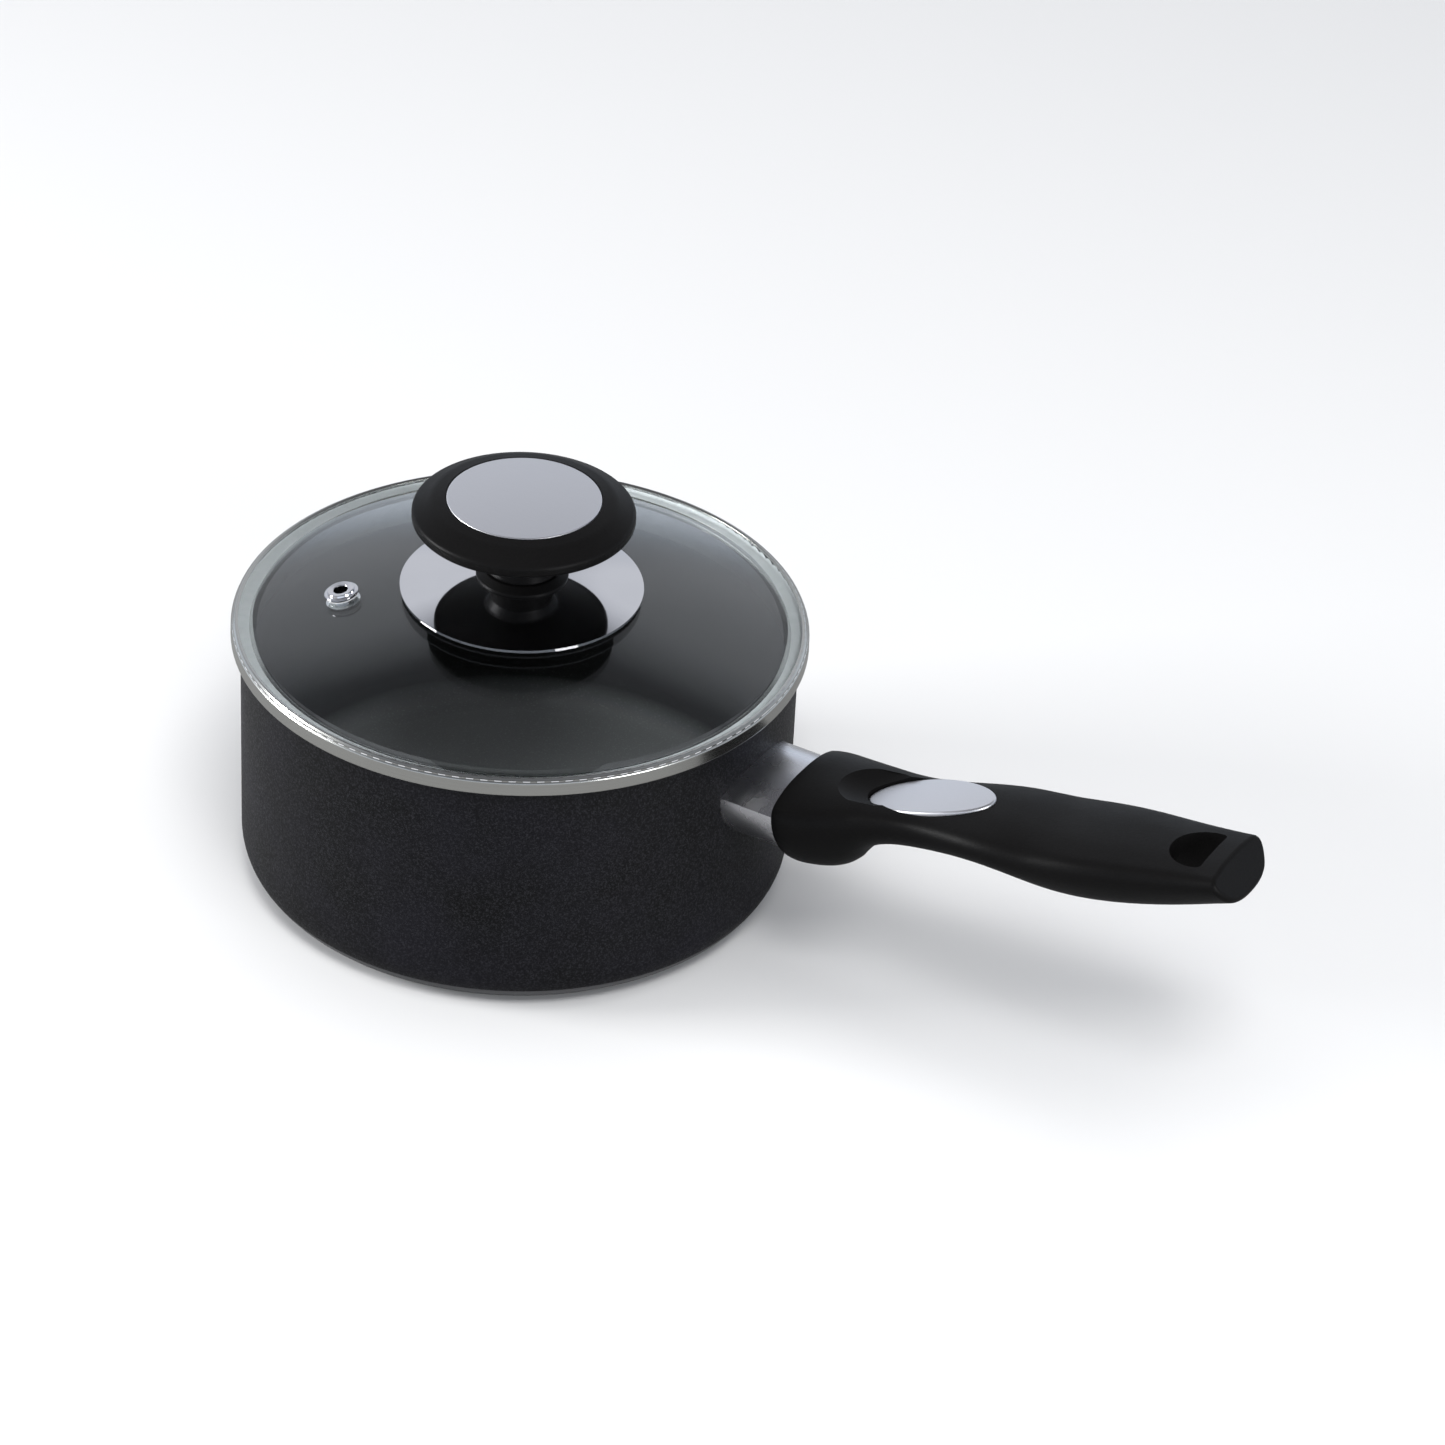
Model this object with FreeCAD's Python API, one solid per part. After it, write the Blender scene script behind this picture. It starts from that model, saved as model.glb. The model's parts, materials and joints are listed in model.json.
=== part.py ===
"""Saucepan, 16 cm, with a domed glass lid and a tilted plastic grip.

Millimetres. The origin is the centre of the underside, +Z is up and the handle runs along +X.
Each piece is one solid and one STEP file in parts/.
"""

import FreeCAD
import Part
import math
import os

V = FreeCAD.Vector

# ---------------------------------------------------------------- driving dimensions: pan
PAN_OUTER_R = 82.3  # outside of the wall
PAN_WALL = 2.3
PAN_HEIGHT = 77.7  # underside to the rim
PAN_FLOOR = 4.0
PAN_CORNER_R = 12.3  # outside radius between base and wall
RIM_ROUND = 0.7
BASE_FLAT_R = 24.0  # plain middle of the underside
BASE_GROOVES = 4  # turned rings round it
BASE_GROOVE_W = 1.4
BASE_GROOVE_DEPTH = 0.4

# ---------------------------------------------------------------- driving dimensions: lid
LID_GAP = 0.3  # clear height between the resting lid and the pan's rim
RING_OVERHANG = 2.9  # how far the ring stands out beyond the wall
RING_BAND = 4.2  # height of the ring's outer band
RING_LIP_RISE = 1.45  # how far the rolled lip stands above the band
RING_LIP_REACH = 1.8  # how far the lip reaches in over the glass, from inside the band
RING_SHEET = 0.5
RING_LIP_SLOPE_W = 0.9  # level width of the lip's sloping inner part
RING_LIP_SLOPE = 0.3  # and its fall
RING_BAND_TAPER = 0.1
RING_SEAT_ROUND = 0.7
RING_SHOULDER_ROUND = 0.9
RING_CREST_ROUND = 0.5
RING_FOLD_ROUND = 0.4
RING_EDGE_ROUND = 0.15
LIP_GAP = 0.05  # between the lip and the glass
SKIRT_PLAY = 1.4  # radial play of the locating skirt in the pan
SKIRT_DEPTH = 8.0  # below the ring's seat
SEAL = 0.4  # silicone between ring and glass
SEAL_INSET = 1.0  # from the start of the brim to the silicone
GLASS = 4.0  # glass thickness
GLASS_BRIM = 5.6  # flat edge zone of the glass
DOME_RISE = 13.2  # crown above the brim
GLASS_EDGE_ROUND = 1.2
GLASS_HOLE_R = 3.6
HOLE_CLEARANCE = 0.1  # round the silicone neck in the glass's hole

VENT_DISTANCE = 52.6  # from the lid's axis
VENT_ANGLE = 213.0  # degrees round from the handle
VENT_HOLE_R = 2.15
VENT_TUBE = 0.6  # wall of the eyelet's tube
VENT_FLANGE_R = 5.1
VENT_RIM_R = 4.2
VENT_PROUD = 2.1
VENT_RIM = 1.0  # height of the rolled rim's upright part
VENT_BASE = 0.7  # thickness of the eyelet's base flange
VENT_GASKET = 0.5
VENT_WASHER = 0.8
VENT_WASHER_DROP = 0.06  # lets the flat washer's edge clear the domed glass
VENT_FLARE = 0.8  # how far the flare under the glass stands out from the tube
VENT_FLARE_THICK = 0.5
VENT_ROUND = 0.25
VENT_FINE_ROUND = 0.125
VENT_CLEARANCE = 0.1

# ---------------------------------------------------------------- driving dimensions: knob
FLANGE_R = 35.8
FLANGE_SHEET = 0.8
FLANGE_GAP = 0.7  # between the flange's edge and the glass
FLANGE_RISE = 4.4  # bulge of the flange, edge to middle
SPACER_INSET = 0.6  # the silicone spacer is this much smaller than the collar
COLLAR_STEP = 2.9  # how far the collar stands out beyond the stem at its foot
COLLAR_TOP_STEP = 0.7
COLLAR_HEIGHT = 1.8  # above the middle of the flange
COLLAR_SKIRT = 1.2  # upright part of the collar's edge
COLLAR_SINK = 0.5  # below the flange's surface at the collar's edge, before it is hollowed
COLLAR_ROUND = 0.4
STEM_R = 10.7
STEM_HEIGHT = 11.7
STEM_WAIST = 0.5  # how much the stem narrows towards the cap
STEM_FLARE = 1.6  # and widens again at its root in the cap
STEM_FLARE_HEIGHT = 4.0
STEM_FLARE_ROUND = 2.0
STEM_FOOT_ROUND = 0.3
CAP_RIM_WIDTH = 10.05  # black rim of the cap round the disc
CAP_UNDERSIDE_RISE = 4.0
CAP_EDGE = 4.4  # height of the cap's rounded edge
CAP_CROWN = 3.4
CAP_UNDER_IN = 3.4  # from the cap's edge in to its underside
CAP_BULGE_DROP = 0.6  # rounding of the edge starts this far in from its ends
CAP_UNDER_ROUND = 3.0
CAP_LOW_ROUND = 1.2
CAP_HIGH_ROUND = 1.6
CAP_SHOULDER_OUT = 4.2  # top shoulder, outside the disc
CAP_SHOULDER_DROP = 0.9
CAP_SHOULDER_ROUND = 6.0
DISC_R = 22.6
DISC_THICK = 1.5
DISC_CROWN = 0.5
DISC_EDGE_ROUND = 0.3
DISC_LIP = 0.3  # rounded lip of the recess
DISC_CLEARANCE = 0.12
INSERT_R = 4.0
INSERT_LENGTH = 9.0
KNOB_SCREW_R = 2.0
KNOB_SCREW_BITE = 7.0  # length of screw in the insert
SCREW_CLEARANCE = 0.06  # between a screw and what it passes through
WASHER_R = 8.0
WASHER = 1.0
WASHER_INSET = 0.5  # the steel washer is this much smaller than the silicone one
UNDER_SEAL = 1.5
KNOB_HEAD_R = 4.0
KNOB_HEAD = 2.6
HEAD_ROUND_SHARE = 0.6  # shapes of a screw, as shares of its head or shank
TIP_ROUND_SHARE = 0.25
SLOT_REACH = 0.55
SLOT_DEPTH = 0.6
SLOT_WIDTH = 0.22

# ---------------------------------------------------------------- driving dimensions: handle
GRIP_TILT = 12.0  # degrees the grip rises from level
GRIP_FRONT = 15.7  # wall of the pan to the grip's front face
GRIP_DROP = 18.1  # rim of the pan down to the grip's widest line at its front
GRIP_LENGTH = 139.5  # front face to the middle of the end face
GRIP_END_LEAN = 26.0  # degrees the flat end face leans back
GRIP_END_ROUND = 1.4
GRIP_FRONT_ROUND = 0.8
GRIP_DRAWN_LENGTH = 139.5  # the stations below are drawn for this length and stretch with the grip
# along the grip: place, half width, widest line's offset, crown above it, depth below it
GRIP_STATIONS = [
    (0.0, 19.7, 0.3, 6.9, 17.6),
    (6.0, 20.3, 0.3, 6.7, 19.4),
    (13.0, 18.9, 0.5, 6.0, 19.6),
    (18.5, 17.4, 0.8, 5.6, 17.9),
    (27.0, 15.5, 0.9, 5.2, 11.0),
    (39.0, 14.2, 0.9, 5.0, 9.0),
    (55.0, 16.2, 0.8, 5.5, 8.2),
    (74.0, 18.4, 0.2, 5.4, 10.2),
    (94.0, 18.7, 0.2, 4.5, 14.4),
    (114.0, 16.9, 0.6, 3.2, 14.4),
    (135.0, 14.6, 0.6, 2.3, 10.8),
    (152.0, 12.4, 0.4, 1.8, 8.0),
]
SECTION_POINTS = 16
TOP_FULLNESS = 2.3  # exponent of the rounded section above the widest line
UNDER_FULLNESS = 2.35

NECK_CROWN = 5.5  # crown of the neck above the grip's widest line, at the front face
NECK_CREASE = 0.7
NECK_SIDE_WALL = 1.7  # plastic outside the neck at its widest
NECK_SIDE_DROP = 9.3
NECK_SIDE_TAPER = 2.3
NECK_FOOT_HALF_WIDTH = 8.0
NECK_BOTTOM = 15.5  # below the grip's widest line
NECK_SHEET = 1.2
NECK_IN_GRIP = 9.0  # how far the neck sleeve reaches into the grip
NECK_CLEARANCE = 0.12

STUD_R = 5.2
STUD_LENGTH = 13.0
STUD_PAD_R = 6.4
STUD_PAD = 2.4
STUD_ROOM = 0.3  # between the stud's pad or the grip's boss and the sleeve's floor
HANDLE_SCREW_R = 2.5
HANDLE_SCREW_BITE = 10.0
STUD_BORE_SPARE = 1.0  # bore left beyond the screw's tip
HANDLE_HEAD_R = 4.4
HANDLE_HEAD = 3.0
HANDLE_WASHER = 1.2
HEAD_ROOM = 0.8  # round the screw's head in the grip
COUNTERBORE_LENGTH = 24.0
GRIP_BOSS_R = 6.2
GRIP_BOSS_OVERLAP = 1.0  # the boss runs this far into the solid plastic
GRIP_SCREW_WALL = 15.5  # plastic that the handle screw clamps

BADGE_DRAWN_AT = 42.8  # along the grip as drawn
BADGE_HEIGHT = 5.9  # top of the badge above the grip's reference line
BADGE_LENGTH = 41.0
BADGE_WIDTH = 20.4
BADGE_THICK = 2.2
BADGE_LEAN = 6.5  # degrees steeper than the grip
BADGE_ROUND = 0.7
BADGE_CROWN_R = 180.0  # curvature of the badge's face
BADGE_CLEARANCE = 0.1
BADGE_HEADROOM = 6.0  # the grip is cut away this far above the badge
THUMB_BALL_R = 26.0  # ball-shaped hollow round the badge's front end
THUMB_BACK = 4.0  # its lowest point, behind the badge's front end
THUMB_DEPTH = 2.7  # below the middle of the badge
THUMB_REACH = 9.0  # ahead of the badge
THUMB_HALF_WIDTH = 9.5

HANG_FROM_END = 7.3  # straight side of the hanging hole to the grip's end
HANG_HALF_WIDTH = 9.0
HANG_LENGTH = 12.7
HANG_ROUND = 1.6
NOTCH_FROM_END = 15.0  # middle of the shallow hollow under the hole
NOTCH_R = 26.0
NOTCH_DEPTH = 1.1
CUT_REACH = 40.0  # half length of a tool that cuts right through the grip
CUT_SPARE = 3.0  # what a tool that cuts through the glass stands out on both sides
WALL_SPARE = 8.0  # what the sleeve and stud reach in past the wall before they are cut to it

# ---------------------------------------------------------------- derived places
PAN_INNER_R = PAN_OUTER_R - PAN_WALL
RING_OUTER_R = PAN_OUTER_R + RING_OVERHANG
SEAT_Z = PAN_HEIGHT + LID_GAP
GLASS_R = RING_OUTER_R - RING_SHEET - SEAL
BRIM_BOTTOM_Z = SEAT_Z + RING_SHEET + SEAL
BRIM_TOP_Z = BRIM_BOTTOM_Z + GLASS
BRIM_INNER_R = GLASS_R - GLASS_BRIM
CROWN_Z = BRIM_TOP_Z + DOME_RISE
DOME_R = (BRIM_INNER_R**2 + DOME_RISE**2) / (2 * DOME_RISE)
DOME_CENTRE_Z = CROWN_Z - DOME_R


def dome_z(r, below=0.0):
    """Height of the glass's top surface at radius r, or of the surface that lies below it."""
    return DOME_CENTRE_Z + math.sqrt((DOME_R - below) ** 2 - r**2)


COLLAR_R = STEM_R + COLLAR_STEP
COLLAR_TOP_R = STEM_R + COLLAR_TOP_STEP
SPACER_R = COLLAR_R - SPACER_INSET
FLANGE_EDGE_Z = dome_z(FLANGE_R) + FLANGE_GAP
FLANGE_TOP_Z = FLANGE_EDGE_Z + FLANGE_SHEET + FLANGE_RISE
FLANGE_BULGE_R = (FLANGE_R**2 + FLANGE_RISE**2) / (2 * FLANGE_RISE)
COLLAR_TOP_Z = FLANGE_TOP_Z + COLLAR_HEIGHT
CAP_R = DISC_R + CAP_RIM_WIDTH
CAP_BOTTOM_Z = COLLAR_TOP_Z + STEM_HEIGHT
CAP_EDGE_Z = CAP_BOTTOM_Z + CAP_UNDERSIDE_RISE
CAP_TOP_Z = CAP_EDGE_Z + CAP_EDGE + CAP_CROWN
GRIP_X = PAN_OUTER_R + GRIP_FRONT
GRIP_Z = PAN_HEIGHT - GRIP_DROP
GRIP_STRETCH = GRIP_LENGTH / GRIP_DRAWN_LENGTH
BADGE_AT = BADGE_DRAWN_AT * GRIP_STRETCH
HANG_AT = GRIP_LENGTH - HANG_FROM_END
NOTCH_AT = GRIP_LENGTH - NOTCH_FROM_END
NECK_CROWN_Z = GRIP_Z + NECK_CROWN
NECK_CREASE_Z = GRIP_Z + NECK_CREASE
NECK_HALF_WIDTH = GRIP_STATIONS[0][1] - NECK_SIDE_WALL
NECK_BOTTOM_Z = GRIP_Z - NECK_BOTTOM
NECK_END_X = GRIP_X + NECK_IN_GRIP
STUD_END_X = PAN_OUTER_R + STUD_LENGTH
STUD_Z = NECK_BOTTOM_Z + NECK_SHEET + STUD_ROOM + max(STUD_PAD_R, GRIP_BOSS_R)
SCREW_SEAT_X = STUD_END_X + GRIP_SCREW_WALL


# ---------------------------------------------------------------- outline helpers
TINY = 1e-6  # shorter runs of an outline are left out
FLATNESS = 0.02  # an edge this close to a plane lies in it


def rounded_wire(corners):
    """Closed wire in the XZ plane through (x, z, radius) corners, each rounded by its radius."""
    count = len(corners)
    edges = []
    start = None
    first = None
    for i in range(count):
        x, z, radius = corners[i]
        here = V(x, 0, z)
        before = V(corners[i - 1][0], 0, corners[i - 1][1])
        after = V(corners[(i + 1) % count][0], 0, corners[(i + 1) % count][1])
        if radius > 0:
            to_before = (before - here).normalize()
            to_after = (after - here).normalize()
            half = to_before.getAngle(to_after) / 2
            reach = radius / math.tan(half)
            begin = here + to_before * reach
            end = here + to_after * reach
            bisector = (to_before + to_after).normalize()
            middle = here + bisector * (radius / math.sin(half) - radius)
            arc = Part.Arc(begin, middle, end).toShape()
        else:
            begin = here
            end = here
            arc = None
        if start is not None and (begin - start).Length > TINY:
            edges.append(Part.makeLine(start, begin))
        if first is None:
            first = begin
        if arc is not None:
            edges.append(arc)
        start = end
    if (first - start).Length > TINY:
        edges.append(Part.makeLine(start, first))
    return Part.Wire(edges)


def turned(wire):
    """Solid made by turning a closed wire in the XZ plane round the Z axis."""
    return Part.Face(wire).revolve(V(0, 0, 0), V(0, 0, 1), 360)


def turned_part(corners):
    return turned(rounded_wire(corners))


def ball(radius, x, z):
    """Sphere centred on the XZ plane, turned so that its poles and seam stay clear of what it shapes."""
    sphere = Part.makeSphere(radius)
    sphere.rotate(V(0, 0, 0), V(1, 0, 0), 90)
    sphere.translate(V(x, 0, z))
    return sphere


def disc(radius, bottom, top, hole=0.0):
    """Plain washer or disc on the Z axis."""
    solid = Part.makeCylinder(radius, top - bottom, V(0, 0, bottom))
    if hole > 0:
        solid = solid.cut(Part.makeCylinder(hole, top - bottom, V(0, 0, bottom)))
    return solid


# ---------------------------------------------------------------- pan
def pan_body():
    """Pressed aluminium pan with a turned underside and a bare rim."""
    inner_corner = PAN_CORNER_R - PAN_WALL
    shell = turned_part(
        [
            (0, 0, 0),
            (PAN_OUTER_R, 0, PAN_CORNER_R),
            (PAN_OUTER_R, PAN_HEIGHT, RIM_ROUND),
            (PAN_INNER_R, PAN_HEIGHT, RIM_ROUND),
            (PAN_INNER_R, PAN_FLOOR, inner_corner),
            (0, PAN_FLOOR, 0),
        ]
    )
    flat_outer = PAN_OUTER_R - PAN_CORNER_R
    pitch = (flat_outer - BASE_FLAT_R) / (BASE_GROOVES + 1)
    for i in range(BASE_GROOVES):
        inner = BASE_FLAT_R + pitch * (i + 1) - BASE_GROOVE_W / 2
        shell = shell.cut(disc(inner + BASE_GROOVE_W, 0, BASE_GROOVE_DEPTH, inner))
    return shell


# ---------------------------------------------------------------- lid
def lid_glass():
    """Tempered glass dome with a flat brim, a knob hole and a vent hole."""
    inner_top_z = dome_z(GLASS_HOLE_R)
    under_inner_z = dome_z(GLASS_HOLE_R, GLASS)
    under_brim_r = math.sqrt((DOME_R - GLASS) ** 2 - (BRIM_BOTTOM_Z - DOME_CENTRE_Z) ** 2)

    def dome_arc(radius, start_r, end_r):
        points = []
        for r in (start_r, (start_r + end_r) / 2, end_r):
            points.append(V(r, 0, DOME_CENTRE_Z + math.sqrt(radius**2 - r**2)))
        return Part.Arc(*points).toShape()

    top = dome_arc(DOME_R, GLASS_HOLE_R, BRIM_INNER_R)
    under = dome_arc(DOME_R - GLASS, under_brim_r, GLASS_HOLE_R)
    edge = GLASS_EDGE_ROUND
    diagonal = edge * (1 - math.sqrt(0.5))
    outline = [
        top,
        Part.makeLine(V(BRIM_INNER_R, 0, BRIM_TOP_Z), V(GLASS_R - edge, 0, BRIM_TOP_Z)),
        Part.Arc(
            V(GLASS_R - edge, 0, BRIM_TOP_Z),
            V(GLASS_R - diagonal, 0, BRIM_TOP_Z - diagonal),
            V(GLASS_R, 0, BRIM_TOP_Z - edge),
        ).toShape(),
        Part.makeLine(V(GLASS_R, 0, BRIM_TOP_Z - edge), V(GLASS_R, 0, BRIM_BOTTOM_Z + edge)),
        Part.Arc(
            V(GLASS_R, 0, BRIM_BOTTOM_Z + edge),
            V(GLASS_R - diagonal, 0, BRIM_BOTTOM_Z + diagonal),
            V(GLASS_R - edge, 0, BRIM_BOTTOM_Z),
        ).toShape(),
        Part.makeLine(V(GLASS_R - edge, 0, BRIM_BOTTOM_Z), V(under_brim_r, 0, BRIM_BOTTOM_Z)),
        under,
        Part.makeLine(V(GLASS_HOLE_R, 0, under_inner_z), V(GLASS_HOLE_R, 0, inner_top_z)),
    ]
    glass = turned(Part.Wire(outline))
    tube_r = VENT_HOLE_R + VENT_TUBE + VENT_CLEARANCE
    return glass.cut(vent_place(disc(tube_r, -GLASS - CUT_SPARE, CUT_SPARE)))


def rim_ring():
    """Rolled steel ring: lip over the glass, outer band, seat on the rim and locating skirt."""
    skirt_r = PAN_INNER_R - SKIRT_PLAY
    inner_r = RING_OUTER_R - RING_SHEET
    band_top = SEAT_Z + RING_BAND
    lip_r = inner_r - RING_LIP_REACH
    lip_top = max(band_top + RING_LIP_RISE, BRIM_TOP_Z + LIP_GAP + RING_SHEET)
    lip_under = BRIM_TOP_Z + LIP_GAP
    return turned_part(
        [
            (skirt_r, SEAT_Z - SKIRT_DEPTH, RING_EDGE_ROUND),
            (skirt_r, SEAT_Z, RING_FOLD_ROUND),
            (RING_OUTER_R, SEAT_Z, RING_SEAT_ROUND),
            (RING_OUTER_R - RING_BAND_TAPER, band_top, RING_SHOULDER_ROUND),
            (lip_r + RING_LIP_SLOPE_W, lip_top, RING_CREST_ROUND),
            (lip_r, lip_top - RING_LIP_SLOPE, RING_EDGE_ROUND),
            (lip_r, lip_under, RING_EDGE_ROUND),
            (inner_r, lip_under, 0),
            (inner_r, SEAT_Z + RING_SHEET, 0),
            (skirt_r - RING_SHEET, SEAT_Z + RING_SHEET, RING_FOLD_ROUND),
            (skirt_r - RING_SHEET, SEAT_Z - SKIRT_DEPTH, RING_EDGE_ROUND),
        ]
    )


def ring_seal():
    """Silicone bead: under the brim of the glass and round its edge."""
    inner_r = BRIM_INNER_R + SEAL_INSET
    outer_r = GLASS_R + SEAL
    low = SEAT_Z + RING_SHEET
    return turned_part(
        [
            (inner_r, low, 0),
            (outer_r, low, 0),
            (outer_r, BRIM_TOP_Z, 0),
            (GLASS_R, BRIM_TOP_Z, 0),
            (GLASS_R, BRIM_BOTTOM_Z, 0),
            (inner_r, BRIM_BOTTOM_Z, 0),
        ]
    )


def vent_place(shape):
    """Moves a shape from the Z axis at the origin to the vent, square to the glass there."""
    lean = math.degrees(math.asin(VENT_DISTANCE / DOME_R))
    placed = shape.copy()
    placed.rotate(V(0, 0, 0), V(0, 1, 0), lean)
    placed.translate(V(VENT_DISTANCE, 0, dome_z(VENT_DISTANCE)))
    placed.rotate(V(0, 0, 0), V(0, 0, 1), VENT_ANGLE)
    return placed


def vent_flare_z():
    """Underside of the vent's washer, along the vent's own axis."""
    return -GLASS - VENT_WASHER_DROP - VENT_WASHER


def vent_eyelet():
    """Steel eyelet: a base flange, a rolled upper rim and a tube flared out under the glass."""
    tube_r = VENT_HOLE_R + VENT_TUBE
    flare = vent_flare_z()
    base_high = VENT_GASKET + VENT_BASE
    fine = VENT_FINE_ROUND
    return vent_place(
        turned_part(
            [
                (VENT_HOLE_R, flare - VENT_FLARE_THICK, fine),
                (tube_r + VENT_FLARE, flare - VENT_FLARE_THICK, fine),
                (tube_r + VENT_FLARE, flare, fine),
                (tube_r, flare, 0),
                (tube_r, VENT_GASKET, 0),
                (VENT_FLANGE_R, VENT_GASKET, fine),
                (VENT_FLANGE_R, base_high, VENT_ROUND),
                (VENT_RIM_R, VENT_PROUD - VENT_RIM + VENT_ROUND, fine),
                (VENT_RIM_R - VENT_ROUND, VENT_PROUD, VENT_ROUND),
                (VENT_HOLE_R, VENT_PROUD - VENT_ROUND, VENT_ROUND),
            ]
        )
    )


def vent_gasket():
    """Silicone washer between the eyelet's flange and the glass."""
    tube_r = VENT_HOLE_R + VENT_TUBE + VENT_CLEARANCE
    return vent_place(disc(VENT_FLANGE_R - VENT_ROUND, 0, VENT_GASKET, tube_r))


def vent_washer():
    """Steel washer under the glass that the eyelet's flare is rolled against."""
    tube_r = VENT_HOLE_R + VENT_TUBE + VENT_CLEARANCE
    return vent_place(disc(VENT_FLANGE_R, vent_flare_z(), -GLASS - VENT_WASHER_DROP, tube_r))


# ---------------------------------------------------------------- knob
def bulge_z(r, below=0.0):
    """Height of the flange's top surface at radius r, or of the surface that lies below it."""
    return FLANGE_TOP_Z - FLANGE_BULGE_R + math.sqrt((FLANGE_BULGE_R - below) ** 2 - r**2)


def knob_flange():
    """Polished steel saucer that keeps fingers off the hot glass."""
    hole = KNOB_SCREW_R + SCREW_CLEARANCE

    def arc(below, start_r, end_r):
        points = [V(r, 0, bulge_z(r, below)) for r in (start_r, (start_r + end_r) / 2, end_r)]
        return Part.Arc(*points).toShape()

    outline = [
        arc(0, hole, FLANGE_R),
        Part.makeLine(V(FLANGE_R, 0, bulge_z(FLANGE_R)), V(FLANGE_R, 0, bulge_z(FLANGE_R, FLANGE_SHEET))),
        arc(FLANGE_SHEET, FLANGE_R, hole),
        Part.makeLine(V(hole, 0, bulge_z(hole, FLANGE_SHEET)), V(hole, 0, bulge_z(hole))),
    ]
    return turned(Part.Wire(outline))


def flange_spacer():
    """Silicone spacer, domed to the glass below and to the flange above."""
    hole = KNOB_SCREW_R + SCREW_CLEARANCE
    blank = disc(SPACER_R, dome_z(SPACER_R), FLANGE_TOP_Z, hole)
    glass_ball = ball(DOME_R, 0, DOME_CENTRE_Z)
    flange_ball = ball(FLANGE_BULGE_R - FLANGE_SHEET, 0, FLANGE_TOP_Z - FLANGE_BULGE_R)
    return blank.cut(glass_ball).common(flange_ball)


def knob_collar():
    """Black foot of the knob, hollowed to the flange's bulge."""
    hole = KNOB_SCREW_R + SCREW_CLEARANCE
    low = bulge_z(COLLAR_R) - COLLAR_SINK
    blank = turned_part(
        [
            (hole, low, 0),
            (COLLAR_R, low, 0),
            (COLLAR_R, low + COLLAR_SKIRT, COLLAR_ROUND),
            (COLLAR_TOP_R, COLLAR_TOP_Z, COLLAR_ROUND),
            (hole, COLLAR_TOP_Z, 0),
        ]
    )
    return blank.cut(ball(FLANGE_BULGE_R, 0, FLANGE_TOP_Z - FLANGE_BULGE_R))


def knob_body():
    """Stem and cap moulded in one, with a recess for the steel disc and a bore for the insert."""
    recess_r = DISC_R + DISC_CLEARANCE
    recess_z = CAP_TOP_Z - DISC_THICK
    body = turned_part(
        [
            (0, COLLAR_TOP_Z, 0),
            (STEM_R, COLLAR_TOP_Z, STEM_FOOT_ROUND),
            (STEM_R - STEM_WAIST, CAP_BOTTOM_Z - STEM_FLARE_HEIGHT, STEM_FLARE_ROUND),
            (STEM_R + STEM_FLARE, CAP_BOTTOM_Z, STEM_FLARE_ROUND),
            (CAP_R - CAP_UNDER_IN, CAP_EDGE_Z, CAP_UNDER_ROUND),
            (CAP_R, CAP_EDGE_Z + CAP_BULGE_DROP, CAP_LOW_ROUND),
            (CAP_R, CAP_EDGE_Z + CAP_EDGE - CAP_BULGE_DROP, CAP_HIGH_ROUND),
            (recess_r + CAP_SHOULDER_OUT, CAP_TOP_Z - CAP_SHOULDER_DROP, CAP_SHOULDER_ROUND),
            (recess_r, CAP_TOP_Z, DISC_LIP),
            (recess_r, recess_z, 0),
            (0, recess_z, 0),
        ]
    )
    return body.cut(disc(INSERT_R, COLLAR_TOP_Z, COLLAR_TOP_Z + INSERT_LENGTH))


def knob_disc():
    """Slightly crowned steel disc let into the top of the cap."""
    crown_r = (DISC_R**2 + DISC_CROWN**2) / (2 * DISC_CROWN)
    crown = ball(crown_r, 0, CAP_TOP_Z + DISC_CROWN - crown_r)
    plate = disc(DISC_R, CAP_TOP_Z - DISC_THICK, CAP_TOP_Z + DISC_THICK).common(crown)
    rim = []
    for edge in plate.Edges:
        height = edge.valueAt(edge.FirstParameter).z
        if edge.Length > DISC_R and abs(height - CAP_TOP_Z) < DISC_EDGE_ROUND:
            rim.append(edge)
    return plate.makeFillet(DISC_EDGE_ROUND, rim)


def knob_insert():
    """Brass insert moulded into the stem."""
    hole = KNOB_SCREW_R + SCREW_CLEARANCE
    return disc(INSERT_R, COLLAR_TOP_Z, COLLAR_TOP_Z + INSERT_LENGTH, hole)


def knob_seal():
    """Silicone washer under the glass, domed to it, with a neck that lines the hole."""
    hole = KNOB_SCREW_R + SCREW_CLEARANCE
    low = dome_z(WASHER_R, GLASS) - UNDER_SEAL
    blank = disc(WASHER_R, low, CROWN_Z - GLASS, hole)
    blank = blank.common(ball(DOME_R - GLASS, 0, DOME_CENTRE_Z))
    neck = disc(GLASS_HOLE_R - HOLE_CLEARANCE, low, dome_z(GLASS_HOLE_R) - HOLE_CLEARANCE, hole)
    return blank.fuse(neck).removeSplitter()


def under_washer_z():
    """Lower face of the steel washer under the lid."""
    return dome_z(WASHER_R, GLASS) - UNDER_SEAL - WASHER


def knob_washer():
    """Steel washer under the silicone one."""
    low = under_washer_z()
    return disc(WASHER_R - WASHER_INSET, low, low + WASHER, KNOB_SCREW_R + SCREW_CLEARANCE)


def cross_slot(radius, depth, width):
    """Cross-shaped driver recess at the origin, cut upwards from z = 0."""
    bar = Part.makeBox(radius * 2, width, depth, V(-radius, -width / 2, 0))
    other = bar.copy()
    other.rotate(V(0, 0, 0), V(0, 0, 1), 90)
    return bar.fuse(other)


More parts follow.
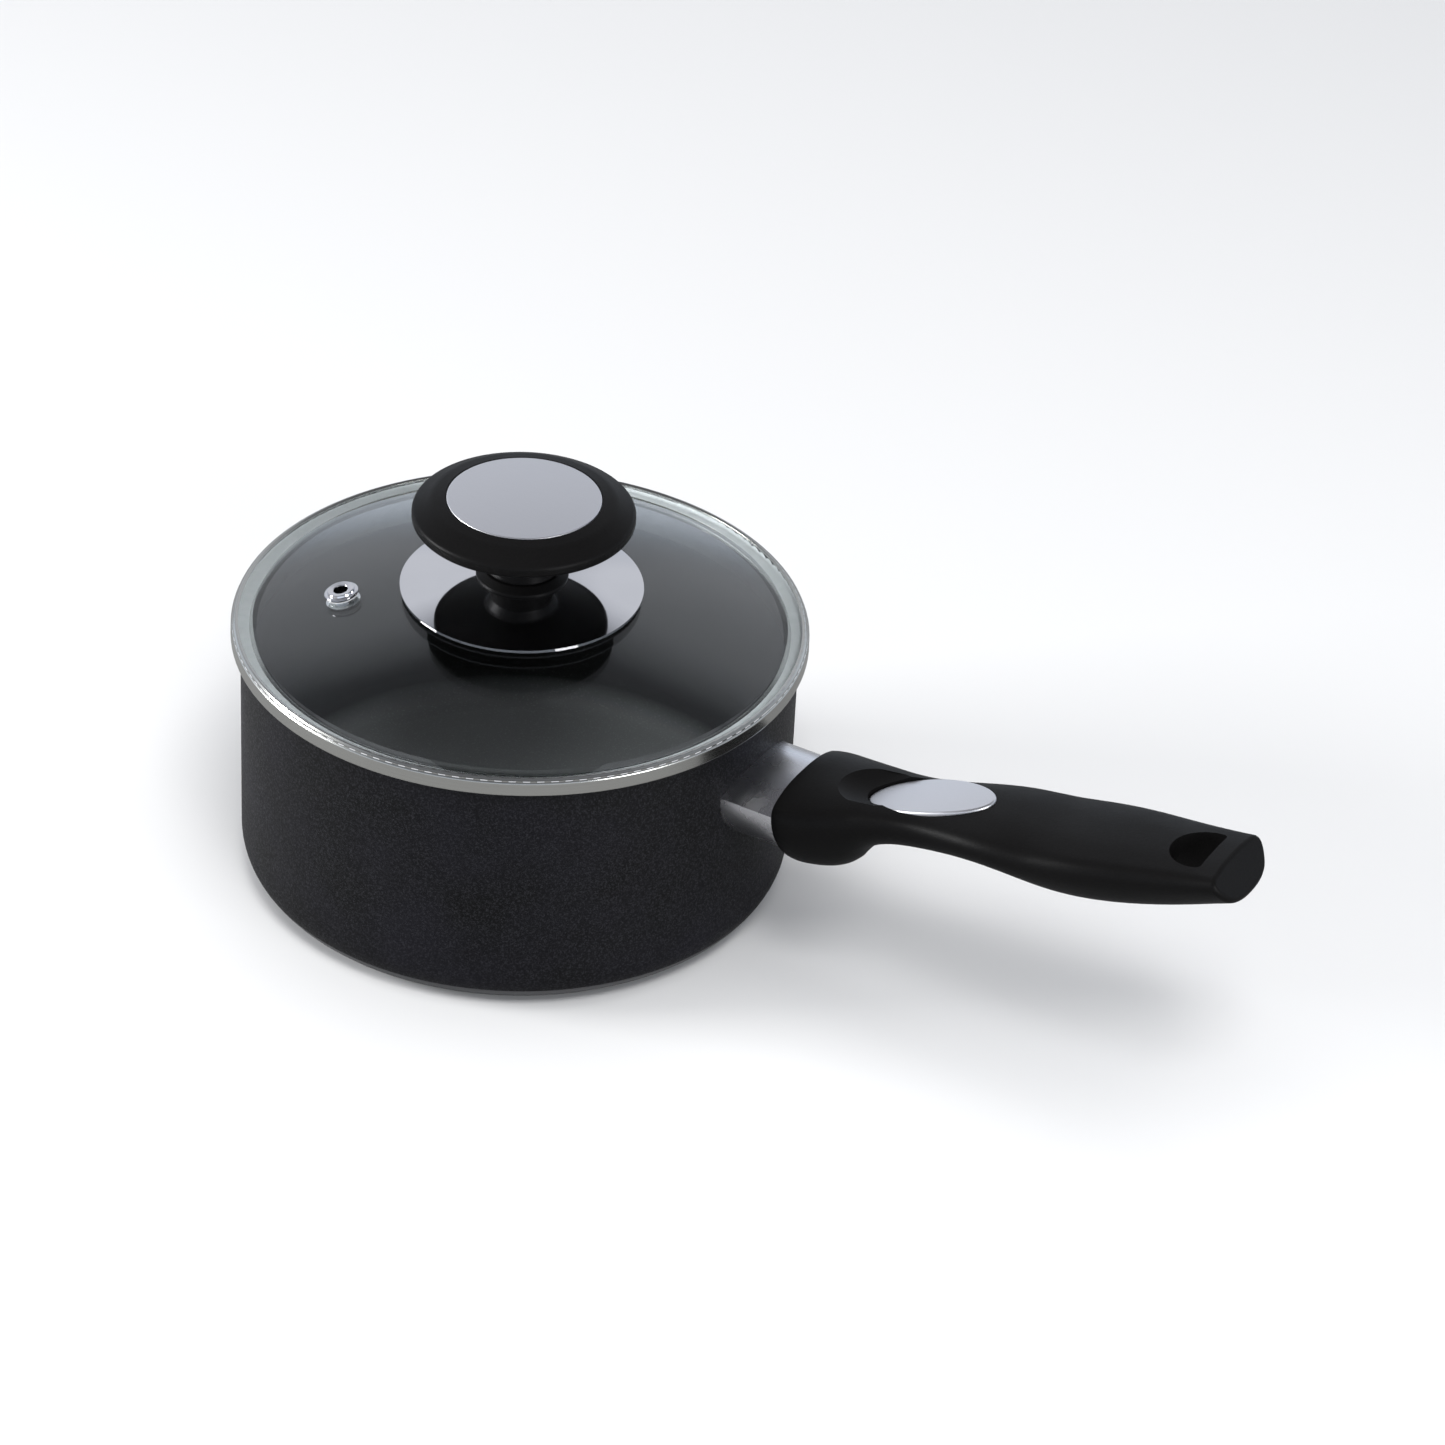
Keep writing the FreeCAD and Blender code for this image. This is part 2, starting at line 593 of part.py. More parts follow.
def pan_head_screw(shank_r, shank_length, head_r, head_height):
    """Screw along +Z: the head is below z = 0 and the shank above it."""
    screw = turned_part(
        [
            (0, -head_height, 0),
            (head_r, -head_height, head_height * HEAD_ROUND_SHARE),
            (head_r, 0, 0),
            (shank_r, 0, 0),
            (shank_r, shank_length, shank_r * TIP_ROUND_SHARE),
            (0, shank_length, 0),
        ]
    )
    slot = cross_slot(head_r * SLOT_REACH, head_height * SLOT_DEPTH, head_r * SLOT_WIDTH)
    slot.translate(V(0, 0, -head_height))
    return screw.cut(slot)


def knob_screw():
    """Screw up through the lid into the knob's insert."""
    seat = under_washer_z()
    length = COLLAR_TOP_Z + KNOB_SCREW_BITE - seat
    screw = pan_head_screw(KNOB_SCREW_R, length, KNOB_HEAD_R, KNOB_HEAD)
    screw.translate(V(0, 0, seat))
    return screw


# ---------------------------------------------------------------- handle
def grip_to_pan(shape):
    """Moves a shape from the grip's own axes (X along it, Z square to it) to the pan's."""
    placed = shape.copy()
    placed.rotate(V(0, 0, 0), V(0, 1, 0), -GRIP_TILT)
    placed.translate(V(GRIP_X, 0, GRIP_Z))
    return placed


def signed_power(value, exponent):
    return math.copysign(abs(value) ** exponent, value)


def closed_spline(points):
    curve = Part.BSplineCurve()
    curve.interpolate(Points=points, PeriodicFlag=True)
    return Part.Wire([curve.toShape()])


def grip_section(station):
    """Rounded section of the grip in its own axes."""
    drawn_at, half_width, offset, crown, depth = station
    along = drawn_at * GRIP_STRETCH
    points = []
    for i in range(SECTION_POINTS):
        angle = 2 * math.pi * i / SECTION_POINTS
        over = math.sin(angle) >= 0
        fullness = TOP_FULLNESS if over else UNDER_FULLNESS
        height = crown if over else depth
        y = half_width * signed_power(math.cos(angle), 2 / fullness)
        z = offset + height * signed_power(math.sin(angle), 2 / fullness)
        points.append(V(along, y, z))
    return closed_spline(points)


def neck_section(x, spread):
    """Section of the neck sleeve at x, made wider and taller by spread on every side."""
    crease_y = NECK_HALF_WIDTH + spread
    crown_z = NECK_CROWN_Z + spread
    bottom_z = NECK_BOTTOM_Z - spread
    side = V(x, crease_y - NECK_SIDE_TAPER, NECK_CREASE_Z - NECK_SIDE_DROP)
    foot = V(x, NECK_FOOT_HALF_WIDTH + spread, bottom_z)
    crease = V(x, crease_y, NECK_CREASE_Z)

    def mirror(point):
        return V(point.x, -point.y, point.z)

    over = Part.Arc(crease, V(x, 0, crown_z), mirror(crease)).toShape()
    near = Part.Arc(mirror(crease), mirror(side), mirror(foot)).toShape()
    under = Part.makeLine(mirror(foot), foot)
    far = Part.Arc(foot, side, crease).toShape()
    return Part.Wire([over, near, under, far])


def neck_solid(start_x, end_x, spread):
    face = Part.Face(neck_section(start_x, spread))
    return face.extrude(V(end_x - start_x, 0, 0))


def pan_cylinder(clearance=0.0):
    return Part.makeCylinder(PAN_OUTER_R + clearance, PAN_HEIGHT)


def flame_guard():
    """Bare metal sleeve between the wall of the pan and the grip."""
    start = PAN_OUTER_R - WALL_SPARE
    sleeve = neck_solid(start, NECK_END_X, 0).cut(neck_solid(start, NECK_END_X, -NECK_SHEET))
    return sleeve.cut(pan_cylinder())


def rod(radius, start_x, end_x, z):
    """Cylinder along X."""
    return Part.makeCylinder(radius, end_x - start_x, V(start_x, 0, z), V(1, 0, 0))


def weld_stud():
    """Stud welded to the wall, with a pad at its root and a threaded bore."""
    root = PAN_OUTER_R - WALL_SPARE
    stud = rod(STUD_R, root, STUD_END_X, STUD_Z)
    stud = stud.fuse(rod(STUD_PAD_R, root, PAN_OUTER_R + STUD_PAD, STUD_Z))
    stud = stud.cut(pan_cylinder())
    bore_start = STUD_END_X - HANDLE_SCREW_BITE - STUD_BORE_SPARE
    bore = rod(HANDLE_SCREW_R + SCREW_CLEARANCE, bore_start, STUD_END_X, STUD_Z)
    return stud.cut(bore).removeSplitter()


def badge_blank(grow, above):
    """Oval plate in the grip's axes, from the badge's underside to above its plane."""
    ellipse = Part.Ellipse(V(0, 0, -BADGE_THICK), BADGE_LENGTH / 2 + grow, BADGE_WIDTH / 2 + grow)
    return Part.Face(Part.Wire([ellipse.toShape()])).extrude(V(0, 0, BADGE_THICK + above))


def badge_place(shape):
    placed = shape.copy()
    placed.rotate(V(0, 0, 0), V(0, 1, 0), -BADGE_LEAN)
    placed.translate(V(BADGE_AT, 0, BADGE_HEIGHT))
    return grip_to_pan(placed)


def badge():
    """Oval metal badge with a slightly domed face and a rounded edge."""
    plate = badge_blank(0, BADGE_THICK)
    plate = plate.common(ball(BADGE_CROWN_R, 0, -BADGE_CROWN_R))
    above = BADGE_ROUND - BADGE_THICK
    rim = [edge for edge in plate.Edges if edge.BoundBox.ZMin > above and edge.Length > BADGE_LENGTH]
    plate = plate.makeFillet(BADGE_ROUND, rim)
    return badge_place(plate)


def thumb_hollow():
    """Ball-shaped scoop at the badge's front end, where the thumb rests."""
    lowest = BADGE_AT - BADGE_LENGTH / 2 + THUMB_BACK
    scoop = ball(THUMB_BALL_R, lowest, BADGE_HEIGHT - THUMB_DEPTH + THUMB_BALL_R)
    reach = BADGE_LENGTH / 2 + THUMB_REACH
    corner = V(BADGE_AT - reach, -THUMB_HALF_WIDTH, BADGE_HEIGHT - THUMB_BALL_R)
    keep = Part.makeBox(reach, THUMB_HALF_WIDTH * 2, THUMB_BALL_R * 2, corner)
    return grip_to_pan(scoop.common(keep))


def hanging_hole():
    """Hole through the grip: straight toward its end, round toward the pan."""
    near = HANG_AT - HANG_LENGTH
    outline = [
        Part.makeLine(V(HANG_AT, -HANG_HALF_WIDTH, 0), V(HANG_AT, HANG_HALF_WIDTH, 0)),
        Part.Arc(V(HANG_AT, HANG_HALF_WIDTH, 0), V(near, 0, 0), V(HANG_AT, -HANG_HALF_WIDTH, 0)).toShape(),
    ]
    prism = Part.Face(Part.Wire(outline)).extrude(V(0, 0, 2 * CUT_REACH))
    prism.translate(V(0, 0, -CUT_REACH))
    upright = [
        edge
        for edge in prism.Edges
        if edge.BoundBox.ZLength > 2 * CUT_REACH - HANG_ROUND and edge.BoundBox.XMin > HANG_AT - HANG_ROUND
    ]
    return grip_to_pan(prism.makeFillet(HANG_ROUND, upright))


def underside_depth(along):
    """How far the grip's underside lies below its axis, between the stations on either side."""
    drawn_at = along / GRIP_STRETCH
    for before, after in zip(GRIP_STATIONS, GRIP_STATIONS[1:]):
        if before[0] <= drawn_at <= after[0]:
            share = (drawn_at - before[0]) / (after[0] - before[0])
            low_before = before[4] - before[2]
            low_after = after[4] - after[2]
            return low_before + share * (low_after - low_before)
    return GRIP_STATIONS[-1][4]


def hanging_notch():
    """Shallow hollow across the underside, below the hanging hole, that a hook's tip finds."""
    bottom = -(underside_depth(NOTCH_AT) + NOTCH_R - NOTCH_DEPTH)
    roll = Part.makeCylinder(NOTCH_R, 2 * CUT_REACH, V(NOTCH_AT, -CUT_REACH, bottom), V(0, 1, 0))
    return grip_to_pan(roll)


def end_trim():
    """Block that cuts the grip's end off at a lean."""
    block = Part.makeBox(CUT_REACH, 2 * CUT_REACH, 2 * CUT_REACH, V(0, -CUT_REACH, -CUT_REACH))
    block.rotate(V(0, 0, 0), V(0, 1, 0), -GRIP_END_LEAN)
    block.translate(V(GRIP_LENGTH, 0, 0))
    return grip_to_pan(block)


def end_face_edges(shape, axis_point, along):
    """Edges of shape that lie in the plane through axis_point, square to along."""
    flat = []
    for edge in shape.Edges:
        if all(abs((vertex.Point - axis_point).dot(along)) < FLATNESS for vertex in edge.Vertexes):
            middle = edge.valueAt((edge.FirstParameter + edge.LastParameter) / 2)
            if abs((middle - axis_point).dot(along)) < FLATNESS:
                flat.append(edge)
    return flat


def grip_blank():
    """Outer form of the grip, cut off at its end, with both ends' edges rounded."""
    body = grip_to_pan(Part.makeLoft([grip_section(s) for s in GRIP_STATIONS], True, False))
    body = body.cut(end_trim())
    front_normal = V(math.cos(math.radians(GRIP_TILT)), 0, math.sin(math.radians(GRIP_TILT)))
    end_angle = math.radians(GRIP_TILT + GRIP_END_LEAN)
    end_point = grip_to_pan(Part.Vertex(GRIP_LENGTH, 0, 0)).Point
    body = body.makeFillet(GRIP_FRONT_ROUND, end_face_edges(body, V(GRIP_X, 0, GRIP_Z), front_normal))
    end_normal = V(math.cos(end_angle), 0, math.sin(end_angle))
    return body.makeFillet(GRIP_END_ROUND, end_face_edges(body, end_point, end_normal))


def grip():
    """Moulded plastic grip with its pockets for neck, screw and badge."""
    body = grip_blank()
    body = body.cut(neck_solid(PAN_OUTER_R, NECK_END_X + NECK_CLEARANCE, NECK_CLEARANCE))
    body = body.fuse(rod(GRIP_BOSS_R, STUD_END_X, NECK_END_X + GRIP_BOSS_OVERLAP, STUD_Z))
    shank_r = HANDLE_SCREW_R + SCREW_CLEARANCE
    head_end = SCREW_SEAT_X + COUNTERBORE_LENGTH
    body = body.cut(rod(shank_r, STUD_END_X - STUD_ROOM, SCREW_SEAT_X + STUD_ROOM, STUD_Z))
    body = body.cut(rod(HANDLE_HEAD_R + HEAD_ROOM, SCREW_SEAT_X, head_end, STUD_Z))
    body = body.cut(thumb_hollow())
    body = body.cut(badge_place(badge_blank(BADGE_CLEARANCE, BADGE_HEADROOM)))
    body = body.cut(hanging_hole())
    return body.cut(hanging_notch())


def handle_washer():
    """Spring washer under the head of the handle screw."""
    washer = rod(HANDLE_HEAD_R, SCREW_SEAT_X, SCREW_SEAT_X + HANDLE_WASHER, STUD_Z)
    hole = rod(HANDLE_SCREW_R + SCREW_CLEARANCE, SCREW_SEAT_X, SCREW_SEAT_X + HANDLE_WASHER, STUD_Z)
    return washer.cut(hole)


def handle_screw():
    """Screw from under the grip, through its boss, into the stud."""
    seat = SCREW_SEAT_X + HANDLE_WASHER
    length = seat - STUD_END_X + HANDLE_SCREW_BITE
    screw = pan_head_screw(HANDLE_SCREW_R, length, HANDLE_HEAD_R, HANDLE_HEAD)
    screw.rotate(V(0, 0, 0), V(0, 1, 0), -90)
    screw.translate(V(seat, 0, STUD_Z))
    return screw


PIECES = {
    "pan_body": pan_body,
    "weld_stud": weld_stud,
    "flame_guard": flame_guard,
    "grip": grip,
    "handle_screw": handle_screw,
    "handle_washer": handle_washer,
    "badge": badge,
    "lid_glass": lid_glass,
    "rim_ring": rim_ring,
    "ring_seal": ring_seal,
    "vent_eyelet": vent_eyelet,
    "vent_gasket": vent_gasket,
    "vent_washer": vent_washer,
    "knob_flange": knob_flange,
    "flange_spacer": flange_spacer,
    "knob_collar": knob_collar,
    "knob_body": knob_body,
    "knob_disc": knob_disc,
    "knob_insert": knob_insert,
    "knob_seal": knob_seal,
    "knob_washer": knob_washer,
    "knob_screw": knob_screw,
}


def main():
    os.makedirs("parts", exist_ok=True)
    for name, make in PIECES.items():
        shape = make()
        shape.exportStep("parts/" + name + ".step")
        box = shape.BoundBox
        print(
            name,
            "solids", len(shape.Solids),
            "valid", shape.isValid(),
            "volume %.0f" % shape.Volume,
            "x %.1f..%.1f z %.1f..%.1f" % (box.XMin, box.XMax, box.ZMin, box.ZMax),
        )


main()
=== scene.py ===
"""Looks of a 16 cm saucepan with a glass lid: materials, floor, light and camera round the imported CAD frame.

Everything is in metres, in the frame's own axes: the origin is under the pan's centre, +Z is up and the
handle runs along +X.
"""

import json
import math

import bpy
from mathutils import Matrix, Vector


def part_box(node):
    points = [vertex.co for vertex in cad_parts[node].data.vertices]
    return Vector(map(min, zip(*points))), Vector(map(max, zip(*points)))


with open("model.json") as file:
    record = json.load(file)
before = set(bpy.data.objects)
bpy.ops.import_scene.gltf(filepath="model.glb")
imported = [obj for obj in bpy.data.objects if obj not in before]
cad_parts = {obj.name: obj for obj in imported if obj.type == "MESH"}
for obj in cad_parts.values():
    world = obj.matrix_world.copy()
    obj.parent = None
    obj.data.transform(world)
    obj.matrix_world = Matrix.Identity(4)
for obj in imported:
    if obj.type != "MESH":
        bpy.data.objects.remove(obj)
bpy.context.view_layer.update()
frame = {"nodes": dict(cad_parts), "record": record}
NODES = frame["nodes"]
MM = 0.001

# ---------------------------------------------------------------- camera
HANDLE_TURN = math.radians(29.0)  # the handle points this far toward the camera from its right
CAMERA_PITCH = 0.58876  # radians below level
CAMERA_ROLL = 0.05435
CAMERA_DISTANCE = 1.54881
CAMERA_TARGET = Vector((0, 0, 0.05))
CAMERA_ASIDE = (0.0608, -0.0032)  # of the target, to the camera's right and up
SENSOR = 36.0
LENS = 129.55

# ---------------------------------------------------------------- floor and lamps
FLOOR_HALF = 1.6
FLOOR_SEEN = 0.72  # grey of the floor as the camera sees it
FLOOR_PAINTED_SHADE = 0.28  # and as it shows in the pan and in bounced light: painted shade, darker than the floor looks
FLOOR_ROUGH = 0.9
LAMP_TARGET = Vector((0, 0, 0.05))
KEY_POWER = 19.0
KEY_SIZE = 0.62
KEY_FROM = Vector((0.167, -0.656, 1.0))  # seen from the camera's side: right, away from it, up
KEY_DISTANCE = 2.0
SIDE_SIZE = (0.5, 0.5)
SIDE_DISTANCE = 1.35
SIDE_HEIGHT = 0.42
LEFT_POWER = 20.0
LEFT_AZIMUTH = math.radians(-88.0)  # round the pan, from the camera's side
RIGHT_POWER = 7.0
RIGHT_AZIMUTH = math.radians(44.0)
FILL_POWER = 30.0
FILL_SIZE = 2.2
FILL_HEIGHT = 2.2

# ---------------------------------------------------------------- sky
SKY_STRENGTH = 1.0
HORIZON = (0.85, 0.93, 1.05, 1.0)
SKY_MIDDLE = (0.3, 0.32, 0.36, 1.0)
SKY_TOP = (0.12, 0.12, 0.13, 1.0)
SKY_LOW = (0.05, 0.42)  # rise of the direction over which the horizon's glow ends
SKY_HIGH = (0.6, 0.85)  # and over which the top's dark begins
SOFTBOX = (0.66, 0.68, 0.73, 1.0)
SOFTBOX_AZIMUTH = math.radians(20.0)  # either side of straight ahead of the camera
SOFTBOX_RISE = math.radians(28.0)
SOFTBOX_EDGE = (0.93, 0.985)  # cosines between which its soft edge lies

# ---------------------------------------------------------------- places on the pan
_, PAN_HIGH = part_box("pan_body")
PAN_R = PAN_HIGH.x
PAN_RIM = PAN_HIGH.z
WALL = 2.3 * MM
WALL_MIDDLE = (0.62, 0.58)  # shares of the wall, in from its outside, where the two coatings meet
FLOOR_TOP = 4.0 * MM
FLOOR_MIDDLE = (2.1 * MM, 1.9 * MM)  # heights where they meet in the floor
WALL_SHADE_TO_FLOOR_LIGHT = (7 * MM, 1 * MM)  # above the floor: the wall's painted shade gives way to the floor's painted light
RIM_BARE = 0.8 * MM  # bare zone at the top of the wall
RIM_SOFT = 0.8  # share of it that is wholly bare
RIM_WANDER = 0.25 * MM
BASE_BARE_R = PAN_R - 12.3 * MM
BASE_BARE_SOFT = 0.5 * MM
BASE_BARE = (0.6 * MM, 0.54 * MM)

# ---------------------------------------------------------------- finishes
PATCH = (0.3, 0.7)  # usual range of a noise that shifts the roughness
COAT_DARK = 0.0016
COAT_FLECK = 0.022
COAT_CLOUD = (0.016, 0.015, 0.024, 1.0)
COAT_GLOSS = 0.2
# painted shade on the inside wall and painted light on the inside floor: one coating, shaded and lit by its
# colour
INSIDE_WALL_PAINTED_SHADE = (0.008, 0.03)
INSIDE_FLOOR_PAINTED_LIGHT = (0.12, 0.2)
INSIDE_DOTS = 0.55
TURNED_METAL = (0.5, 0.74)
PLASTIC = (0.003, 0.0065)
PLASTIC_GLOSS = 0.08
GLASS_TINT = (0.955, 0.985, 0.98, 1.0)
GLASS_IOR = 1.5
GLASS_GLOSS = 0.16
GLASS_SHADOW = (0.92, 0.95, 0.95, 1.0)
RING_LEVEL = 0.55
RING_WARMTH = 0.95
RING_ROUGH = 0.2
RING_LINES = 0.3 * MM
BRASS_DARK = (0.62, 0.42, 0.16, 1.0)
BRASS_LIGHT = (0.78, 0.56, 0.25, 1.0)
BRASS_ROUGH = 0.3
KNURLS = 60.0


# ---------------------------------------------------------------- shader helpers
def new_material(name):
    """An empty material with its Principled shader."""
    material = bpy.data.materials.new(name)
    material.use_nodes = True
    tree = material.node_tree
    shader = tree.nodes["Principled BSDF"]
    return material, tree, shader


def place(tree):
    """The object's own coordinates, in metres in the frame's axes."""
    return tree.nodes.new("ShaderNodeTexCoord").outputs["Object"]


def feed(tree, socket, value):
    """Links value to socket, or sets it there if it is a plain number or colour."""
    if isinstance(value, bpy.types.NodeSocket):
        tree.links.new(value, socket)
    else:
        socket.default_value = value


def calc(tree, operation, first, second=0.0):
    """Result of a Math node."""
    node = tree.nodes.new("ShaderNodeMath")
    node.operation = operation
    feed(tree, node.inputs[0], first)
    feed(tree, node.inputs[1], second)
    return node.outputs[0]


def times(tree, first, second):
    return calc(tree, "MULTIPLY", first, second)


def split(tree, vector):
    """The x, y and z of a vector."""
    node = tree.nodes.new("ShaderNodeSeparateXYZ")
    tree.links.new(vector, node.inputs[0])
    return node.outputs


def join(tree, x, y, z):
    """A vector from its x, y and z."""
    node = tree.nodes.new("ShaderNodeCombineXYZ")
    for socket, value in zip(node.inputs, (x, y, z)):
        feed(tree, socket, value)
    return node.outputs[0]


def radius_and_height(tree):
    """Distance from the pan's axis, and height."""
    x, y, z = split(tree, place(tree))
    squares = calc(tree, "ADD", times(tree, x, x), times(tree, y, y))
    return calc(tree, "SQRT", squares), z


def turn(tree):
    """Angle round the pan's axis, in radians."""
    x, y, _ = split(tree, place(tree))
    return calc(tree, "ARCTAN2", y, x)


def noise(tree, vector, size=1.0, detail=2.0, rough=0.5):
    """Noise whose features are about size across, from 0 to 1."""
    node = tree.nodes.new("ShaderNodeTexNoise")
    tree.links.new(vector, node.inputs["Vector"])
    node.inputs["Scale"].default_value = 1.0 / size
    node.inputs["Detail"].default_value = detail
    node.inputs["Roughness"].default_value = rough
    return node.outputs["Fac"]


def spread(tree, value, low, high, out_low=0.0, out_high=1.0):
    """Value mapped from low..high to out_low..out_high, clamped."""
    node = tree.nodes.new("ShaderNodeMapRange")
    for socket, number in zip(node.inputs, (value, low, high, out_low, out_high)):
        feed(tree, socket, number)
    return node.outputs[0]


def patchy(tree, value, out_low, out_high):
    """A noise turned into a roughness between two limits."""
    return spread(tree, value, *PATCH, out_low, out_high)


def blend(tree, share, first, second):
    """First colour where share is 0 and second where it is 1."""
    node = tree.nodes.new("ShaderNodeMix")
    node.data_type = "RGBA"
    feed(tree, node.inputs["Factor"], share)
    for name, value in (("A", first), ("B", second)):
        socket = [s for s in node.inputs if s.name == name and s.type == "RGBA"][0]
        feed(tree, socket, value)
    return [s for s in node.outputs if s.type == "RGBA"][0]


def mix(tree, share, first, second):
    """First number where share is 0 and second where it is 1."""
    node = tree.nodes.new("ShaderNodeMix")
    feed(tree, node.inputs["Factor"], share)
    feed(tree, node.inputs["A"], first)
    feed(tree, node.inputs["B"], second)
    return node.outputs[0]


def average(tree, first, second):
    return calc(tree, "ADD", times(tree, first, 0.5), times(tree, second, 0.5))


def bump(tree, shader, height, depth, strength):
    """Gives the shader a relief depth metres deep."""
    node = tree.nodes.new("ShaderNodeBump")
    node.inputs["Strength"].default_value = strength
    node.inputs["Distance"].default_value = depth
    tree.links.new(height, node.inputs["Height"])
    tree.links.new(node.outputs[0], shader.inputs["Normal"])


def grey(level, blue=1.0, red=1.0):
    """A grey that leans to blue or red."""
    return (level * red, level, level * blue, 1.0)


def stretched(tree, along, across):
    """Coordinates for brushing: long along the object's X and fine across it."""
    x, y, z = split(tree, place(tree))
    fine = 1.0 / across
    return join(tree, times(tree, x, 1.0 / along), times(tree, y, fine), times(tree, z, fine))


def finish(tree, shader, tone, roughness, metallic=0.0):
    """Sets a surface's colour, roughness and metalness."""
    feed(tree, shader.inputs["Base Color"], tone)
    feed(tree, shader.inputs["Roughness"], roughness)
    feed(tree, shader.inputs["Metallic"], metallic)


# ---------------------------------------------------------------- materials
def outside_coating(tree, here, speckle):
    """Dark speckled paint with faint violet clouds."""
    paint = blend(tree, speckle, grey(COAT_DARK, 1.3), grey(COAT_FLECK, 1.15))
    cloud = noise(tree, here, 30 * MM)
    return blend(tree, spread(tree, cloud, 0.4, 0.7, 0.0, 0.25), paint, COAT_CLOUD)


def inside_coating(tree, height, dots):
    """Grey non-stick coating with pale dots; the walls carry painted shade and the floor painted light."""
    share = times(tree, dots, INSIDE_DOTS)
    shaded_wall = blend(tree, share, grey(INSIDE_WALL_PAINTED_SHADE[0], 1.04), grey(INSIDE_WALL_PAINTED_SHADE[1], 1.02))
    lit_floor_tone = blend(tree, share, grey(INSIDE_FLOOR_PAINTED_LIGHT[0], 1.02), grey(INSIDE_FLOOR_PAINTED_LIGHT[1], 1.02))
    # the wall's painted shade fades into the floor's painted light
    on_floor = spread(tree, height, FLOOR_TOP + WALL_SHADE_TO_FLOOR_LIGHT[0], FLOOR_TOP + WALL_SHADE_TO_FLOOR_LIGHT[1])
    return blend(tree, on_floor, shaded_wall, lit_floor_tone)


def outside_mask(tree, radius, height):
    """1 on the outside coating and 0 on the inside one; they meet within the metal."""
    in_wall = spread(tree, radius, PAN_R - WALL_MIDDLE[0] * WALL, PAN_R - WALL_MIDDLE[1] * WALL)
    in_base = spread(tree, height, *FLOOR_MIDDLE)
    return calc(tree, "MAXIMUM", in_wall, in_base)


def bare_mask(tree, here, radius, height):
    """1 on the bare rim, whose lower edge wanders a little, and on the turned middle of the base."""
    wander = times(tree, noise(tree, here, 3 * MM), RIM_WANDER)
    low = PAN_RIM - RIM_BARE
    on_rim = spread(tree, calc(tree, "SUBTRACT", height, wander), low, PAN_RIM - RIM_SOFT * RIM_BARE)
    under = spread(tree, height, *BASE_BARE)
    in_ring = spread(tree, radius, BASE_BARE_R + BASE_BARE_SOFT, BASE_BARE_R)
    return calc(tree, "MAXIMUM", on_rim, times(tree, under, in_ring))


def coated_pan():
    """Speckled dark coating outside, non-stick inside, bare metal on the rim and the turned base."""
    material, tree, shader = new_material("pan_coating")
    radius, height = radius_and_height(tree)
    here = place(tree)
    fine = noise(tree, here, 0.45 * MM, 2.0, 0.6)
    flake = noise(tree, here, 0.9 * MM, 1.0, 0.4)
    speckle = times(tree, spread(tree, fine, 0.42, 0.68), spread(tree, flake, 0.35, 0.6))
    dots = spread(tree, noise(tree, here, 0.55 * MM, 1.0, 0.4), 0.6, 0.72)
    rings = noise(tree, join(tree, times(tree, radius, 1 / (0.35 * MM)), 0.0, 0.0), detail=3.0)
    is_outside = outside_mask(tree, radius, height)
    is_bare = bare_mask(tree, here, radius, height)

    coated = blend(tree, is_outside, inside_coating(tree, height, dots), outside_coating(tree, here, speckle))
    bare = blend(tree, rings, grey(TURNED_METAL[0], 1.03), grey(TURNED_METAL[1], 1.02))
    rough_inside = spread(tree, dots, 0.0, 1.0, 0.42, 0.5)
    rough_coated = mix(tree, is_outside, rough_inside, mix(tree, speckle, 0.5, 0.34))
    finish(tree, shader, blend(tree, is_bare, coated, bare), mix(tree, is_bare, rough_coated, 0.3), is_bare)
    shader.inputs["Specular IOR Level"].default_value = COAT_GLOSS

    orange_peel = noise(tree, here, 1.1 * MM)
    relief = mix(tree, is_bare, average(tree, orange_peel, fine), times(tree, rings, 0.4))
    bump(tree, shader, relief, 0.09 * MM, 0.7)
    return material


def black_plastic():
    """Matte black moulding with a fine spark-eroded grain, worn a little smoother in patches."""
    material, tree, shader = new_material("black_plastic")
    here = place(tree)
    grain = noise(tree, here, 0.5 * MM, 3.0, 0.6)
    patch = noise(tree, here, 18 * MM)
    tone = blend(tree, grain, grey(PLASTIC[0], 1.02, 1.05), grey(PLASTIC[1], 1.0, 1.04))
    finish(tree, shader, tone, patchy(tree, patch, 0.36, 0.44))
    shader.inputs["Specular IOR Level"].default_value = PLASTIC_GLOSS
    bump(tree, shader, grain, 0.1 * MM, 0.55)
    return material


def ring_steel():
    """Satin steel with marks that run round the pan's axis."""
    material, tree, shader = new_material("ring_steel")
    radius, height = radius_and_height(tree)
    across = join(
        tree,
        times(tree, turn(tree), 2.0),
        times(tree, height, 1.0 / RING_LINES),
        times(tree, radius, 1.0 / RING_LINES),
    )
    lines = noise(tree, across, detail=3.0)
    tone = blend(tree, lines, grey(RING_LEVEL * 0.88, RING_WARMTH), grey(RING_LEVEL * 1.06, RING_WARMTH))
    smudge = noise(tree, place(tree), 22 * MM)
    finish(tree, shader, tone, patchy(tree, smudge, RING_ROUGH * 0.85, RING_ROUGH * 1.2), 1.0)
    bump(tree, shader, lines, 0.006 * MM, 0.3)
    return material


def satin_metal():
    """Fine satin face of the knob's disc and of the grip's badge."""
    material, tree, shader = new_material("satin_metal")
    brushed = noise(tree, stretched(tree, 6 * MM, 0.16 * MM), detail=4.0)
    pearl = noise(tree, place(tree), 0.3 * MM)
    texture = average(tree, brushed, pearl)
    tone = blend(tree, texture, grey(0.82, 1.03), grey(0.94, 1.03))
    finish(tree, shader, tone, patchy(tree, texture, 0.38, 0.48), 1.0)
    bump(tree, shader, texture, 0.02 * MM, 0.35)
    return material


